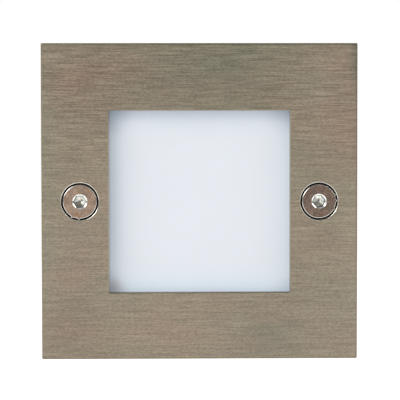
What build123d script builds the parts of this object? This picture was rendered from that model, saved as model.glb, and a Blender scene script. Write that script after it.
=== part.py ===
"""Recessed square step light: a brushed steel face plate over an opal window, and a lamp unit in a wall box.

X is to the right, Y goes into the wall and Z is up. The origin is the middle of the wall's surface, so
what shows in the room has a negative Y, and what is buried a positive one. All sizes are millimetres.
"""

import os

from build123d import *

# ---- clearances ----
fit_gap = 0.05  # radial, a screw in its thread or a pressed insert in its hole
slip_gap = 0.2  # per side, a loose part that drops into a recess
board_gap = 0.4  # per side, the light board in its chamber
barrel_gap = 0.8  # from the barrel to the wall box's bosses
mouth_gap = 0.5  # per side, the flange in the wall box's mouth and the frame between its pads
cutout_gap = 0.7  # per side, from the wall box to the wall gasket
pass_gap = 0.3  # radial, a screw through a clearance hole
pilot_spare = 0.5  # how much deeper than its screw a pilot hole goes

# ---- face plate and its two screws ----
plate_overhang = 1.5  # past the wall gasket, on every side
plate_thickness = 3.0
plate_corner_radius = 0.5
plate_edge_break = 0.2
window_land = 2.55  # metal left between the window and the counterbores
window_corner_radius = 0.4
screw_spacing = 60.6
screw_length = 20.0  # under the head
screw_radius = 2.5
screw_pitch = 0.8
screw_turns = 8  # from tight to out of its insert
screw_tip_break = 0.5
head_radius = 4.3
head_height = 1.7
head_edge_break = 0.35
socket_across_flats = 3.0
socket_depth = 1.1
socket_mouth_break = 0.3
left_socket_turn = 3.0  # degrees that each socket stands round at rest
right_socket_turn = 11.0
counterbore_gap = 0.45
washer_thickness = 0.3

# ---- gaskets ----
wall_gasket_thickness = 1.5
wall_gasket_width = 2.3
window_gasket_thickness = 0.8
window_gasket_setback = 0.7  # from the window's edge, so that it stays out of sight

# ---- opal diffuser ----
diffuser_screw_gap = 0.5  # from the diffuser's edge to the screws' clearance holes
diffuser_thickness = 2.0
diffuser_corner_radius = 1.8

# ---- lamp body: flange, frame round the diffuser, and barrel ----
flange_edge = 2.9  # past the screws' centres
flange_thickness = 2.2
flange_corner_radius = 3.0
frame_wall = 1.8  # beside the diffuser
frame_corner_radius = 4.0
frame_floor = 1.7  # under the diffuser's seat
barrel_corner_radius = 5.0
barrel_wall = 1.8
ear_radius = 4.6
chamber_depth = 14.1  # diffuser's seat to the light board
shelf_thickness = 2.0
compartment_depth = 15.0  # behind the shelf, for the driver
corner_post_radius = 3.4
lead_slot_width = 7.6
lead_slot_height = 2.2
lead_slot_inset = 1.9  # from the chamber's wall to the slot's middle

# ---- reflector ----
reflector_wall = 1.2
reflector_rear_inset = 2.0  # inside the corner screws' centres
reflector_rear_radius = 7.0
reflector_front_radius = 2.2

# ---- light board ----
board_thickness = 1.6
thermal_pad_margin = 1.2  # from the lead slot
thermal_pad_thickness = 0.5
led_rows = 4
led_pitch = 8.5
led_width = 3.5
led_height = 2.8
led_thickness = 0.8
chip_resistor_width = 3.2
chip_resistor_height = 1.6
chip_resistor_thickness = 0.6

# ---- driver board and what stands on it ----
driver_board_side_gap = 6.2
driver_board_end_gap = 4.2
driver_board_corner_radius = 1.5
driver_post_height = 3.0
driver_post_radius = 2.2
driver_post_inset = 3.0  # from the board's edges
capacitor_radius = 4.0
capacitor_height = 9.0
capacitor_place = (9.6, 9.8)
choke_radius = 3.5
choke_core_radius = 2.2
choke_height = 6.0
choke_cheek = 0.9
choke_place = (-9.2, 9.4)
rectifier_width = 6.5
rectifier_height = 4.8
rectifier_thickness = 2.5
rectifier_place = (10.0, -3.5)
chip_width = 5.0
chip_height = 4.0
chip_thickness = 1.5
chip_place = (-9.0, -2.0)
fuse_width = 7.0
fuse_height = 3.0
fuse_thickness = 7.5
fuse_place = (-11.0, -9.5)
terminal_width = 10.2
terminal_height = 8.0
terminal_thickness = 9.0
terminal_pitch = 5.0
terminal_inset = 4.5  # from the board's lower edge to the block's middle
terminal_entry_radius = 1.3
terminal_entry_depth = 5.0
terminal_screw_radius = 1.6
terminal_screw_length = 3.5
terminal_slot_width = 0.6
terminal_clamp_thickness = 0.4

# ---- small screws ----
led_screw_radius = 1.25
led_screw_length = 6.0
led_screw_head_radius = 2.5
led_screw_head_height = 1.6
driver_screw_radius = 1.0
driver_screw_length = 5.0
driver_screw_head_radius = 2.1
driver_screw_head_height = 1.4
cover_screw_radius = 1.25
cover_screw_length = 9.0
cover_screw_head_radius = 2.8
cover_screw_head_height = 2.0
cross_slot_width = 0.7
cross_slot_length = 2.6
cross_slot_depth = 0.8

# ---- leads from the driver to the light board ----
lead_radius = 0.5
lead_spacing = 6.0
lead_pad_spacing = 13.0
lead_rise = 2.8  # above the driver board
lead_hop = 1.7  # in front of the light board
lead_start_inset = 1.7  # from the board's upper edge

# ---- rear cover and cable gland ----
rear_seal_thickness = 0.8
rear_cover_thickness = 2.5
gland_thread_radius = 5.95
gland_hex = 15.0
gland_hex_height = 4.0
gland_spigot = 4.3  # inside the cover
gland_locknut_height = 3.0
gland_bore_radius = 3.6
gland_seal_radius = 4.8
gland_seal_depth = 4.7  # how far the seal sits in the gland's mouth
gland_seal_length = 6.5
cable_radius = 3.3
gland_ring_thickness = 1.0
gland_cap_gap = 0.5  # between the body's hexagon and the cap's
gland_cap_skirt = 6.2
gland_cap_wall = 1.7
gland_dome_radius = 5.7
gland_pitch = 1.5
gland_turns = 3  # from tight to slack
gland_thread_left = 1.0  # still in mesh when slack

# ---- wall box ----
box_rear_space = 1.7  # from the slack gland cap to the grommet
box_corner_radius = 4.0
box_wall = 1.8
box_back_wall = 2.0
box_pad_depth = 10.0
box_boss_depth = 10.0
boss_wall = 1.25  # between an insert and the boss's inner face
box_boss_height = 10.4
box_rib_width = 1.5
box_rib_proud = 0.45
box_rib_depths = (12.0, 19.0, 51.0)
knockout_radius = 10.0
knockout_groove = 0.9
knockout_groove_depth = 0.8
knockout_depth = 36.0
fixing_spacing = 44.0
fixing_hole_radius = 2.25
fixing_foot_radius = 5.0
fixing_foot_height = 2.0
insert_radius = 3.25
insert_length = 8.0
grommet_hole_radius = 8.0
grommet_flange_radius = 10.0
grommet_flange = 1.5

# ---- depths behind the wall's surface, worked out from the sizes above ----
plate_back = -wall_gasket_thickness
plate_front = plate_back - plate_thickness
head_back = plate_front + head_height
washer_back = head_back + washer_thickness
screw_tip = head_back + screw_length
boss_front = screw_tip - screw_turns * screw_pitch
flange_back = plate_back + flange_thickness
diffuser_front = plate_back + window_gasket_thickness
diffuser_seat = diffuser_front + diffuser_thickness
frame_back = diffuser_seat + frame_floor
led_board_front = diffuser_seat + chamber_depth
led_board_back = led_board_front + board_thickness
shelf_front = led_board_back + thermal_pad_thickness
shelf_back = shelf_front + shelf_thickness
driver_front = shelf_back + driver_post_height
driver_back = driver_front + board_thickness
barrel_back = shelf_back + compartment_depth
cover_front = barrel_back + rear_seal_thickness
cover_back = cover_front + rear_cover_thickness
gland_hex_back = cover_back + gland_hex_height
cap_front = gland_hex_back + gland_cap_gap
gland_mouth_back = cap_front + gland_turns * gland_pitch + gland_thread_left
seal_front = gland_mouth_back - gland_seal_depth
seal_back = seal_front + gland_seal_length
ring_back = seal_back + gland_ring_thickness
cap_skirt_back = cap_front + gland_cap_skirt
cap_back = ring_back + gland_cap_wall
cap_slack_back = cap_back + gland_turns * gland_pitch
box_inner_back = cap_slack_back + box_rear_space + grommet_flange
box_depth = box_inner_back + box_back_wall

# ---- widths worked out from the sizes above ----
counterbore_radius = head_radius + counterbore_gap
window_size = screw_spacing - 2 * (counterbore_radius + window_land)
diffuser_size = screw_spacing - 2 * (screw_radius + pass_gap + diffuser_screw_gap)
seat_size = diffuser_size + 2 * slip_gap
frame_size = seat_size + 2 * frame_wall
flange_size = screw_spacing + 2 * flange_edge
box_bore = flange_size + 2 * mouth_gap
box_size = box_bore + 2 * box_wall
box_pad = box_bore / 2 - frame_size / 2 - mouth_gap
box_boss_inner = screw_spacing / 2 - insert_radius - boss_wall
barrel_size = 2 * (box_boss_inner - barrel_gap)
barrel_bore = barrel_size - 2 * barrel_wall
barrel_bore_radius = barrel_corner_radius - barrel_wall
corner_post_place = barrel_size / 2 - barrel_corner_radius
lead_slot_place = barrel_bore / 2 - lead_slot_inset
led_board_size = barrel_bore - 2 * board_gap
thermal_pad_size = 2 * (lead_slot_place - lead_slot_height / 2 - thermal_pad_margin)
reflector_rear_size = 2 * (corner_post_place - reflector_rear_inset)
reflector_front_size = barrel_bore - 2 * (slip_gap + reflector_wall)
driver_board_width = barrel_bore - 2 * driver_board_side_gap
driver_board_height = barrel_bore - 2 * driver_board_end_gap
driver_post_across = driver_board_width - 2 * driver_post_inset
driver_post_up = driver_board_height - 2 * driver_post_inset
terminal_place_z = terminal_inset - driver_board_height / 2
lead_start_z = driver_board_height / 2 - lead_start_inset
gasket_hole = box_size + 2 * cutout_gap
wall_gasket_size = gasket_hole + 2 * wall_gasket_width
plate_size = wall_gasket_size + 2 * plate_overhang
screw_places = [(-screw_spacing / 2, 0), (screw_spacing / 2, 0)]


def wall_plane(depth):
    """A plane parallel to the wall at this depth behind its surface, facing the room."""
    return Plane.XZ.offset(-depth)


def square_ring(outer, outer_radius, inner, inner_radius):
    """A square outline with rounded corners and a square hole, drawn in the open sketch."""
    RectangleRounded(outer, outer, outer_radius)
    RectangleRounded(inner, inner, inner_radius, mode=Mode.SUBTRACT)


def save(piece, name):
    """Names a finished piece and writes it to its own file."""
    piece.part.label = name
    export_step(piece.part, f"parts/{name}.step")


def small_screws(places, seat, radius, height, shank_radius, length):
    """Pan-head screws with a cross slot: heads on a face at this depth, and shanks that go forwards."""
    with BuildPart() as screws:
        for place in places:
            with BuildSketch(wall_plane(seat + height)):
                with Locations(place):
                    Circle(radius)
            extrude(amount=height)
            with BuildSketch(wall_plane(seat)):
                with Locations(place):
                    Circle(shank_radius)
            extrude(amount=length)
            with BuildSketch(wall_plane(seat + height)):
                with Locations(place):
                    Rectangle(cross_slot_length, cross_slot_width)
                    Rectangle(cross_slot_width, cross_slot_length)
            extrude(amount=cross_slot_depth, mode=Mode.SUBTRACT)
        outer_rims = edges().filter_by(GeomType.CIRCLE).group_by(Axis.Y)[-1]
        chamfer(outer_rims, height / 4)
    return screws


def board_blocks(places, seat, width, height, thickness, edge_break=0.2):
    """Boxes that stand on a board's rear face at this depth, such as chip resistors."""
    with BuildPart() as blocks:
        with BuildSketch(wall_plane(seat + thickness)):
            with Locations(*places):
                Rectangle(width, height)
        extrude(amount=thickness)
        chamfer(faces().group_by(Axis.Y)[-1].edges(), edge_break)
    return blocks


os.makedirs("parts", exist_ok=True)

# ---- face plate: the window and two counterbored holes, every front edge lightly broken ----
with BuildPart(wall_plane(plate_front)) as face_plate:
    with BuildSketch(wall_plane(plate_back)):
        square_ring(plate_size, plate_corner_radius, window_size, window_corner_radius)
    extrude(amount=plate_thickness)
    with Locations(*screw_places):
        CounterBoreHole(screw_radius + pass_gap, counterbore_radius, head_height + washer_thickness)
    chamfer(faces().sort_by(Axis.Y)[0].edges(), plate_edge_break)
save(face_plate, "face_plate")

# ---- foam gasket between the plate and the wall ----
with BuildPart() as wall_gasket:
    with BuildSketch(wall_plane(0)):
        square_ring(wall_gasket_size, plate_corner_radius, gasket_hole, plate_corner_radius)
    extrude(amount=wall_gasket_thickness)
save(wall_gasket, "wall_gasket")


# ---- face screws: low socket heads, with a sealing washer under each ----
def face_screw(place, socket_turn):
    with BuildPart(wall_plane(plate_front)) as screw:
        with BuildSketch(wall_plane(head_back)):
            with Locations(place):
                Circle(head_radius)
        extrude(amount=head_height)
        chamfer(edges().filter_by(GeomType.CIRCLE).group_by(Axis.Y)[0], head_edge_break)
        with BuildSketch(wall_plane(head_back)):
            with Locations(place):
                Circle(screw_radius)
        extrude(amount=-screw_length)
        chamfer(edges().filter_by(GeomType.CIRCLE).group_by(Axis.Y)[-1], screw_tip_break)
        with BuildSketch(wall_plane(plate_front)):
            with Locations(place):
                RegularPolygon(socket_across_flats / 2, 6, major_radius=False, rotation=socket_turn)
        extrude(amount=-socket_depth, mode=Mode.SUBTRACT)
        mouth_radius = socket_across_flats / 2 + socket_mouth_break
        with Locations(place):
            CounterSinkHole(fit_gap, mouth_radius, depth=socket_depth + fit_gap)
    return screw


def sealing_washer(place):
    with BuildPart() as washer:
        with BuildSketch(wall_plane(washer_back)):
            with Locations(place):
                Circle(head_radius)
                Circle(screw_radius + fit_gap, mode=Mode.SUBTRACT)
        extrude(amount=washer_thickness)
    return washer


for side, place, turn in zip(("left", "right"), screw_places, (left_socket_turn, right_socket_turn)):
    save(face_screw(place, turn), f"{side}_face_screw")
    save(sealing_washer(place), f"{side}_sealing_washer")

# ---- silicone gasket and opal diffuser, held in the lamp body's front recess ----
with BuildPart() as diffuser_gasket:
    with BuildSketch(wall_plane(diffuser_front)):
        gasket_inner = window_size + 2 * window_gasket_setback
        square_ring(diffuser_size, diffuser_corner_radius, gasket_inner, window_corner_radius)
    extrude(amount=window_gasket_thickness)
save(diffuser_gasket, "diffuser_gasket")

with BuildPart() as diffuser:
    with BuildSketch(wall_plane(diffuser_seat)):
        RectangleRounded(diffuser_size, diffuser_size, diffuser_corner_radius)
    extrude(amount=diffuser_thickness)
save(diffuser, "diffuser")

# ---- lamp body: one casting, with a shelf between the light chamber and the driver compartment ----
corner_posts = GridLocations(2 * corner_post_place, 2 * corner_post_place, 2, 2).local_locations
driver_posts = GridLocations(driver_post_across, driver_post_up, 2, 2).local_locations
led_pilot_end = led_board_front + led_screw_length + pilot_spare
cover_pilot_end = cover_back - cover_screw_length - pilot_spare
driver_pilot_end = driver_back - driver_screw_length - pilot_spare
with BuildPart(wall_plane(shelf_front)) as lamp_body:
    with BuildSketch(wall_plane(flange_back)):
        RectangleRounded(flange_size, flange_size, flange_corner_radius)
    extrude(amount=flange_thickness)
    with BuildSketch(wall_plane(frame_back)):
        RectangleRounded(frame_size, frame_size, frame_corner_radius)
        with Locations(*screw_places):
            Circle(ear_radius)
        RectangleRounded(flange_size, flange_size, flange_corner_radius, mode=Mode.INTERSECT)
    extrude(amount=frame_back - plate_back)
    with BuildSketch(wall_plane(barrel_back)):
        RectangleRounded(barrel_size, barrel_size, barrel_corner_radius)
    extrude(amount=barrel_back - frame_back)
    with BuildSketch(wall_plane(diffuser_seat)):
        RectangleRounded(seat_size, seat_size, diffuser_corner_radius + slip_gap)
    extrude(amount=diffuser_seat - plate_back, mode=Mode.SUBTRACT)
    for front, back in ((diffuser_seat, shelf_front), (shelf_back, barrel_back)):
        with BuildSketch(wall_plane(back)):
            RectangleRounded(barrel_bore, barrel_bore, barrel_bore_radius)
        extrude(amount=back - front, mode=Mode.SUBTRACT)
    with BuildSketch(wall_plane(barrel_back)):
        with Locations(*corner_posts):
            Circle(corner_post_radius)
    extrude(amount=compartment_depth)
    with BuildSketch(wall_plane(driver_front)):
        with Locations(*driver_posts):
            Circle(driver_post_radius)
    extrude(amount=driver_post_height)
    with BuildSketch(wall_plane(plate_back)):
        with Locations(*screw_places):
            Circle(screw_radius + pass_gap)
    extrude(amount=-(frame_back - plate_back), mode=Mode.SUBTRACT)
    with BuildSketch(wall_plane(shelf_front)):
        with Locations(*corner_posts):
            Circle(led_screw_radius + fit_gap)
    extrude(amount=shelf_front - led_pilot_end, mode=Mode.SUBTRACT)
    with BuildSketch(wall_plane(barrel_back)):
        with Locations(*corner_posts):
            Circle(cover_screw_radius + fit_gap)
    extrude(amount=barrel_back - cover_pilot_end, mode=Mode.SUBTRACT)
    with BuildSketch(wall_plane(driver_front)):
        with Locations(*driver_posts):
            Circle(driver_screw_radius + fit_gap)
    extrude(amount=driver_front - driver_pilot_end, mode=Mode.SUBTRACT)
    with BuildSketch(wall_plane(shelf_front)):
        with Locations((0, lead_slot_place)):
            Rectangle(lead_slot_width, lead_slot_height)
    extrude(amount=-shelf_thickness, mode=Mode.SUBTRACT)
save(lamp_body, "lamp_body")

# ---- reflector: a thin funnel from the light board up to just under the diffuser ----
with BuildPart() as reflector:
    for grow, mode in ((reflector_wall, Mode.ADD), (0, Mode.SUBTRACT)):
        rear_size = reflector_rear_size + 2 * grow
        front_size = reflector_front_size + 2 * grow
        with BuildSketch(wall_plane(led_board_front)):
            RectangleRounded(rear_size, rear_size, reflector_rear_radius + grow)
        with BuildSketch(wall_plane(diffuser_seat + slip_gap)):
            RectangleRounded(front_size, front_size, reflector_front_radius + grow)
        loft(mode=mode)
save(reflector, "reflector")

# ---- light board: the board, its pad, its light-emitting chips, resistors and screws ----
with BuildPart() as led_board:
    with BuildSketch(wall_plane(led_board_back)):
        RectangleRounded(led_board_size, led_board_size, barrel_bore_radius - slip_gap)
        with Locations(*corner_posts):
            Circle(led_screw_radius + pass_gap, mode=Mode.SUBTRACT)
        notch_base = lead_slot_place - lead_slot_height / 2
        notch_height = led_board_size / 2 - notch_base
        with Locations((0, notch_base + notch_height / 2)):
            Rectangle(lead_slot_width, notch_height, mode=Mode.SUBTRACT)
    extrude(amount=board_thickness)
save(led_board, "led_board")

with BuildPart() as thermal_pad:
    with BuildSketch(wall_plane(shelf_front)):
        RectangleRounded(thermal_pad_size, thermal_pad_size, barrel_bore_radius)
    extrude(amount=thermal_pad_thickness)
save(thermal_pad, "thermal_pad")

with BuildPart() as leds:
    with BuildSketch(wall_plane(led_board_front)):
        with GridLocations(led_pitch, led_pitch, led_rows, led_rows):
            Rectangle(led_width, led_height)
    extrude(amount=led_thickness)
    chamfer(faces().group_by(Axis.Y)[0].edges(), led_thickness / 8)
save(leds, "leds")

with BuildPart() as led_board_resistors:
    with BuildSketch(wall_plane(led_board_front)):
        with GridLocations(2 * led_pitch, 2 * led_pitch, 2, 2):
            Rectangle(chip_resistor_height, chip_resistor_width)
    extrude(amount=chip_resistor_thickness)
save(led_board_resistors, "led_board_resistors")

with BuildPart() as led_board_screws:
    with BuildSketch(wall_plane(led_board_front)):
        with Locations(*corner_posts):
            Circle(led_screw_head_radius)
    extrude(amount=led_screw_head_height)
    chamfer(faces().group_by(Axis.Y)[0].edges(), led_screw_head_height / 4)
    with BuildSketch(wall_plane(led_board_front)):
        with Locations(*corner_posts):
            Circle(led_screw_radius)
    extrude(amount=-led_screw_length)
    with BuildSketch(wall_plane(led_board_front - led_screw_head_height)):
        with Locations(*corner_posts):
            Rectangle(cross_slot_length, cross_slot_width)
            Rectangle(cross_slot_width, cross_slot_length)
    extrude(amount=-cross_slot_depth, mode=Mode.SUBTRACT)
save(led_board_screws, "led_board_screws")

# ---- driver board and the parts on it ----
with BuildPart() as driver_board:
    with BuildSketch(wall_plane(driver_back)):
        RectangleRounded(driver_board_width, driver_board_height, driver_board_corner_radius)
        with Locations(*driver_posts):
            Circle(driver_screw_radius + pass_gap, mode=Mode.SUBTRACT)
    extrude(amount=board_thickness)
save(driver_board, "driver_board")
driver_screw_head = (driver_screw_head_radius, driver_screw_head_height)
driver_screw_shank = (driver_screw_radius, driver_screw_length)
save(small_screws(driver_posts, driver_back, *driver_screw_head, *driver_screw_shank), "driver_board_screws")

with BuildPart() as smoothing_capacitor:
    with BuildSketch(wall_plane(driver_back + capacitor_height)):
        with Locations(capacitor_place):
            Circle(capacitor_radius)
    extrude(amount=capacitor_height)
    fillet(edges().filter_by(GeomType.CIRCLE), capacitor_radius / 8)
save(smoothing_capacitor, "smoothing_capacitor")

with BuildPart() as choke:
    choke_layers = (
        (choke_radius, driver_back, driver_back + choke_cheek),
        (choke_core_radius, driver_back + choke_cheek, driver_back + choke_height - choke_cheek),
        (choke_radius, driver_back + choke_height - choke_cheek, driver_back + choke_height),
    )
    for radius, front, back in choke_layers:
        with BuildSketch(wall_plane(back)):
            with Locations(choke_place):
                Circle(radius)
        extrude(amount=back - front)
save(choke, "choke")

rectifier_size = (rectifier_width, rectifier_height, rectifier_thickness)
save(board_blocks([rectifier_place], driver_back, *rectifier_size), "bridge_rectifier")
save(board_blocks([chip_place], driver_back, chip_width, chip_height, chip_thickness), "driver_chip")
save(board_blocks([fuse_place], driver_back, fuse_width, fuse_height, fuse_thickness, 0.5), "input_fuse")

resistor_size = (chip_resistor_width, chip_resistor_height, chip_resistor_thickness)
resistor_places = GridLocations(chip_resistor_width * 1.6, chip_resistor_height * 2, 2, 3).local_locations
save(board_blocks(resistor_places, driver_back, *resistor_size), "driver_resistors")

# ---- terminal block: two entries facing up, clamp screws facing the rear ----
terminal_back = driver_back + terminal_thickness
terminal_middle = driver_back + terminal_thickness / 2
terminal_top = terminal_place_z + terminal_height / 2
terminal_places = [(-terminal_pitch / 2, terminal_place_z), (terminal_pitch / 2, terminal_place_z)]
screw_well_depth = terminal_screw_length + terminal_slot_width
with BuildPart() as terminal_block:
    with BuildSketch(wall_plane(terminal_back)):
        with Locations((0, terminal_place_z)):
            Rectangle(terminal_width, terminal_height)
    extrude(amount=terminal_thickness)
    chamfer(faces().sort_by(Axis.Y)[-1].edges(), terminal_slot_width)
    with BuildSketch(wall_plane(terminal_back)):
        with Locations(*terminal_places):
            Circle(terminal_screw_radius + fit_gap)
    extrude(amount=screw_well_depth, mode=Mode.SUBTRACT)
    with BuildSketch(Plane.XY.offset(terminal_top)):
        with Locations(*[(x, terminal_middle) for x, z in terminal_places]):
            Circle(terminal_entry_radius + terminal_clamp_thickness)
    extrude(amount=-terminal_entry_depth, mode=Mode.SUBTRACT)
save(terminal_block, "terminal_block")

with BuildPart() as terminal_clamps:
    with BuildSketch(Plane.XY.offset(terminal_top - terminal_entry_depth)):
        with Locations(*[(x, terminal_middle) for x, z in terminal_places]):
            Circle(terminal_entry_radius + terminal_clamp_thickness - fit_gap)
            Circle(terminal_entry_radius, mode=Mode.SUBTRACT)
    extrude(amount=terminal_entry_depth - terminal_slot_width)
    with BuildSketch(wall_plane(terminal_back)):
        with Locations(*terminal_places):
            Circle(terminal_screw_radius + 2 * fit_gap)
    extrude(amount=screw_well_depth, mode=Mode.SUBTRACT)
save(terminal_clamps, "terminal_clamps")

with BuildPart() as terminal_screws:
    with BuildSketch(wall_plane(terminal_back - terminal_slot_width)):
        with Locations(*terminal_places):
            Circle(terminal_screw_radius)
    extrude(amount=terminal_screw_length)
    with BuildSketch(wall_plane(terminal_back - terminal_slot_width)):
        with Locations(*terminal_places):
            Rectangle(2 * terminal_screw_radius, terminal_slot_width)
    extrude(amount=terminal_slot_width, mode=Mode.SUBTRACT)
save(terminal_screws, "terminal_screws")


# ---- two leads: off the driver board, over its top edge, through the shelf and onto the light board ----
def lead(side):
    start_x = side * lead_spacing / 2
    pad_x = side * lead_pad_spacing / 2
    rise = driver_back + lead_rise
    hop = led_board_front - lead_hop
    points = (
        (start_x, driver_back, lead_start_z),
        (start_x, rise, lead_start_z),
        (start_x, rise, lead_slot_place),
        (start_x, hop, lead_slot_place),
        (pad_x, hop, lead_slot_place),
        (pad_x, led_board_front, lead_slot_place),
    )
    runs = [(Vector(b) - Vector(a)).length for a, b in zip(points, points[1:])]
    radii = [0.45 * min(pair) for pair in zip(runs, runs[1:])]
    with BuildPart() as tube:
        with BuildLine() as route:
            FilletPolyline(*points, radius=radii)
        with BuildSketch(Plane(origin=points[0], z_dir=(0, 1, 0))):
            Circle(lead_radius)
        sweep(path=route.line)
    return tube


save(lead(-1), "led_lead_negative")
save(lead(1), "led_lead_positive")

# ---- rear seal and rear cover: the seal has the outline of the barrel's end, posts included ----
with BuildPart() as rear_cover_seal:
    with BuildSketch(wall_plane(cover_front)):
        square_ring(barrel_size, barrel_corner_radius, barrel_bore, barrel_bore_radius)
        with Locations(*corner_posts):
            Circle(corner_post_radius)
            Circle(cover_screw_radius + pass_gap, mode=Mode.SUBTRACT)
    extrude(amount=rear_seal_thickness)
save(rear_cover_seal, "rear_cover_seal")

with BuildPart() as rear_cover:
    with BuildSketch(wall_plane(cover_back)):
        RectangleRounded(barrel_size, barrel_size, barrel_corner_radius)
        with Locations(*corner_posts):
            Circle(cover_screw_radius + pass_gap, mode=Mode.SUBTRACT)
        Circle(gland_thread_radius + pass_gap, mode=Mode.SUBTRACT)
    extrude(amount=rear_cover_thickness)
    chamfer(faces().sort_by(Axis.Y)[-1].outer_wire().edges(), rear_cover_thickness / 4)
save(rear_cover, "rear_cover")
cover_screw_head = (cover_screw_head_radius, cover_screw_head_height)
cover_screw_shank = (cover_screw_radius, cover_screw_length)
save(small_screws(corner_posts, cover_back, *cover_screw_head, *cover_screw_shank), "rear_cover_screws")

# ---- cable gland: body through the cover, locknut inside, rubber seal, pressure ring and domed cap ----
with BuildPart() as gland_body:
    with BuildSketch(wall_plane(gland_mouth_back)):
        Circle(gland_thread_radius)
    extrude(amount=gland_mouth_back - cover_front + gland_spigot)
    with BuildSketch(wall_plane(gland_hex_back)):
        RegularPolygon(gland_hex / 2, 6, major_radius=False)
    extrude(amount=gland_hex_height)
    with BuildSketch(wall_plane(gland_mouth_back)):
        Circle(gland_bore_radius)
    extrude(amount=gland_mouth_back - cover_front + gland_spigot, mode=Mode.SUBTRACT)
    with BuildSketch(wall_plane(gland_mouth_back)):
        Circle(gland_seal_radius + fit_gap)
    extrude(amount=gland_seal_depth, mode=Mode.SUBTRACT)
save(gland_body, "gland_body")

with BuildPart() as gland_locknut:
    with BuildSketch(wall_plane(cover_front)):
        RegularPolygon(gland_hex / 2, 6, major_radius=False)
        Circle(gland_thread_radius + fit_gap, mode=Mode.SUBTRACT)
    extrude(amount=gland_locknut_height)
save(gland_locknut, "gland_locknut")

with BuildPart() as gland_seal:
    with BuildSketch(wall_plane(seal_back)):
        Circle(gland_seal_radius)
        Circle(cable_radius, mode=Mode.SUBTRACT)
    extrude(amount=gland_seal_length)
save(gland_seal, "gland_seal")

with BuildPart() as gland_pressure_ring:
    with BuildSketch(wall_plane(ring_back)):
        Circle(gland_seal_radius)
        Circle(cable_radius + fit_gap, mode=Mode.SUBTRACT)
    extrude(amount=gland_ring_thickness)
save(gland_pressure_ring, "gland_pressure_ring")

with BuildPart() as gland_cap:
    with BuildSketch(wall_plane(cap_skirt_back)):
        RegularPolygon(gland_hex / 2, 6, major_radius=False)
    extrude(amount=gland_cap_skirt)
    with BuildSketch(Plane.XY):
        with BuildLine():
            dome_foot = (gland_hex / 2, cap_skirt_back)
            dome_top = (gland_dome_radius, cap_back)
            Line((0, cap_skirt_back), dome_foot)
            TangentArc(dome_foot, dome_top, tangent=(0, 1))
            Line(dome_top, (0, cap_back))
            Line((0, cap_back), (0, cap_skirt_back))
        make_face()
    revolve(axis=Axis.Y)
    bores = (
        (gland_thread_radius + fit_gap, cap_front, gland_mouth_back + gland_cap_gap),
        (gland_seal_radius + fit_gap, cap_front, ring_back),
        (gland_bore_radius, cap_front, cap_back),
    )
    for radius, front, back in bores:
        with BuildSketch(wall_plane(back)):
            Circle(radius)
        extrude(amount=back - front, mode=Mode.SUBTRACT)
save(gland_cap, "gland_cap")

# ---- wall box: an open-fronted box with corner pads, insert bosses, anchor ribs and knock-outs ----
boss_back = boss_front + box_boss_depth
boss_width = box_size / 2 - box_wall / 2 - box_boss_inner
fixing_places = GridLocations(fixing_spacing, fixing_spacing, 2, 2).local_locations
pad_place = box_bore / 2 - box_pad / 2
pad_places = GridLocations(2 * pad_place, 2 * pad_place, 2, 2).local_locations
side_planes = (
    Plane(origin=(0, 0, box_size / 2), x_dir=(1, 0, 0), z_dir=(0, 0, 1)),
    Plane(origin=(0, 0, -box_size / 2), x_dir=(1, 0, 0), z_dir=(0, 0, -1)),
    Plane(origin=(box_size / 2, 0, 0), x_dir=(0, 0, 1), z_dir=(1, 0, 0)),
    Plane(origin=(-box_size / 2, 0, 0), x_dir=(0, 0, -1), z_dir=(-1, 0, 0)),
)
with BuildPart() as wall_box:
    with BuildSketch(wall_plane(box_depth)):
        RectangleRounded(box_size, box_size, box_corner_radius)
    extrude(amount=box_depth)
    rib_size = box_size + 2 * box_rib_proud
    for rib_depth in box_rib_depths:
        with BuildSketch(wall_plane(rib_depth + box_rib_width)):
            RectangleRounded(rib_size, rib_size, box_corner_radius + box_rib_proud)
        extrude(amount=box_rib_width)
    with BuildSketch(wall_plane(box_inner_back)):
        RectangleRounded(box_bore, box_bore, box_corner_radius - box_wall)
    extrude(amount=box_inner_back, mode=Mode.SUBTRACT)
    with BuildSketch(wall_plane(flange_back + box_pad_depth)):
        with Locations(*pad_places):
            Rectangle(box_pad + box_wall / 2, box_pad + box_wall / 2)
        RectangleRounded(box_size, box_size, box_corner_radius, mode=Mode.INTERSECT)
    extrude(amount=box_pad_depth)
    with BuildSketch(wall_plane(boss_back)):
        with Locations(*[(side * (box_boss_inner + boss_width / 2), 0) for side in (-1, 1)]):
            Rectangle(boss_width, box_boss_height)
    extrude(amount=box_boss_depth)
    with BuildSketch(wall_plane(boss_front)):
        with Locations(*screw_places):
            Circle(insert_radius + fit_gap)
    extrude(amount=-(insert_length + pilot_spare), mode=Mode.SUBTRACT)
    with BuildSketch(wall_plane(box_depth + fixing_foot_height)):
        with Locations(*fixing_places):
            Circle(fixing_foot_radius)
    extrude(amount=fixing_foot_height)
    with BuildSketch(wall_plane(box_depth + fixing_foot_height)):
        with Locations(*fixing_places):
            Circle(fixing_hole_radius)
        Circle(grommet_hole_radius)
    extrude(amount=fixing_foot_height + box_back_wall, mode=Mode.SUBTRACT)
    for side_plane in side_planes:
        with BuildSketch(side_plane):
            across = side_plane.to_local_coords(Vector(0, knockout_depth, 0))
            with Locations((across.X, across.Y)):
                Circle(knockout_radius)
                Circle(knockout_radius - knockout_groove, mode=Mode.SUBTRACT)
        extrude(amount=-knockout_groove_depth, mode=Mode.SUBTRACT)
save(wall_box, "wall_box")

for side, place in zip(("left", "right"), screw_places):
    with BuildPart() as insert:
        with BuildSketch(wall_plane(boss_front + insert_length)):
            with Locations(place):
                Circle(insert_radius)
                Circle(screw_radius + fit_gap, mode=Mode.SUBTRACT)
        extrude(amount=insert_length)
    save(insert, f"{side}_insert")

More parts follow.
